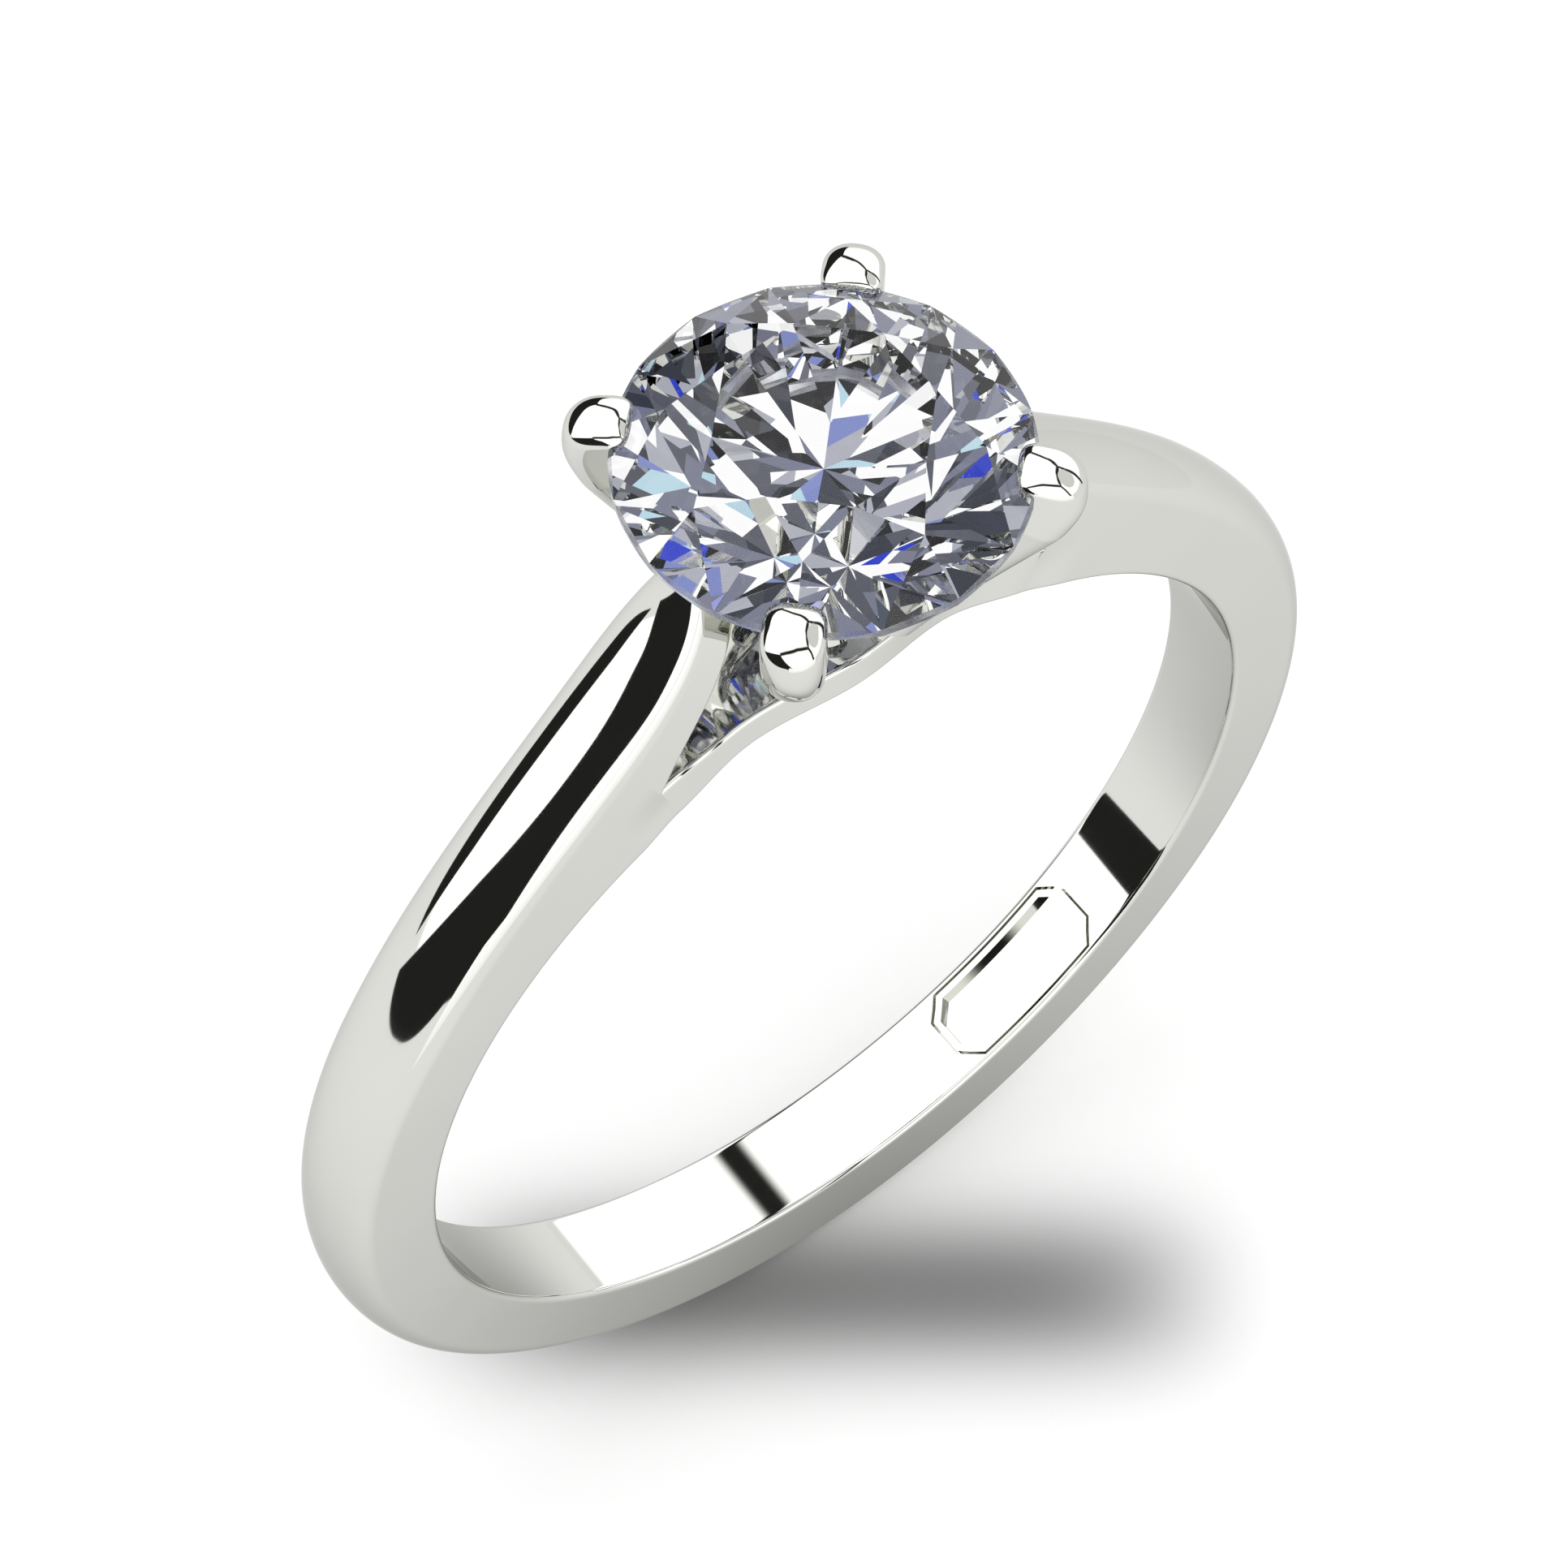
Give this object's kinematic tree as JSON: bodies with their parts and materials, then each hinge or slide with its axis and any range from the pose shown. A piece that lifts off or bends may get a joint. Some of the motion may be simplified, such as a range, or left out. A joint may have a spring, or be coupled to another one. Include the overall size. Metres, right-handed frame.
{
  "type": "engagement ring",
  "caption": "White-metal cathedral solitaire ring: domed band rising into split shoulders, a bridge under a claw head, and a round brilliant-cut stone.",
  "frame": {"origin": "centre of the finger bore, midway across the band", "axes": "+Z from the bore's centre up through the stone, +Y along the finger, +X across the band in the plane of the hoop"},
  "size_m": [0.0208, 0.0064, 0.0251],
  "materials": {
    "white_metal": "mirror polished white gold",
    "stone": "polished diamond facets, clear and colourless"
  },
  "bodies": {
    "root": {"shank": "white_metal", "left_shoulder": "white_metal", "right_shoulder": "white_metal", "bridge": "white_metal", "collet": "white_metal", "claw_front_left": "white_metal", "claw_front_right": "white_metal", "claw_back_left": "white_metal", "claw_back_right": "white_metal", "diamond": "stone"}
  },
  "joints": []
}
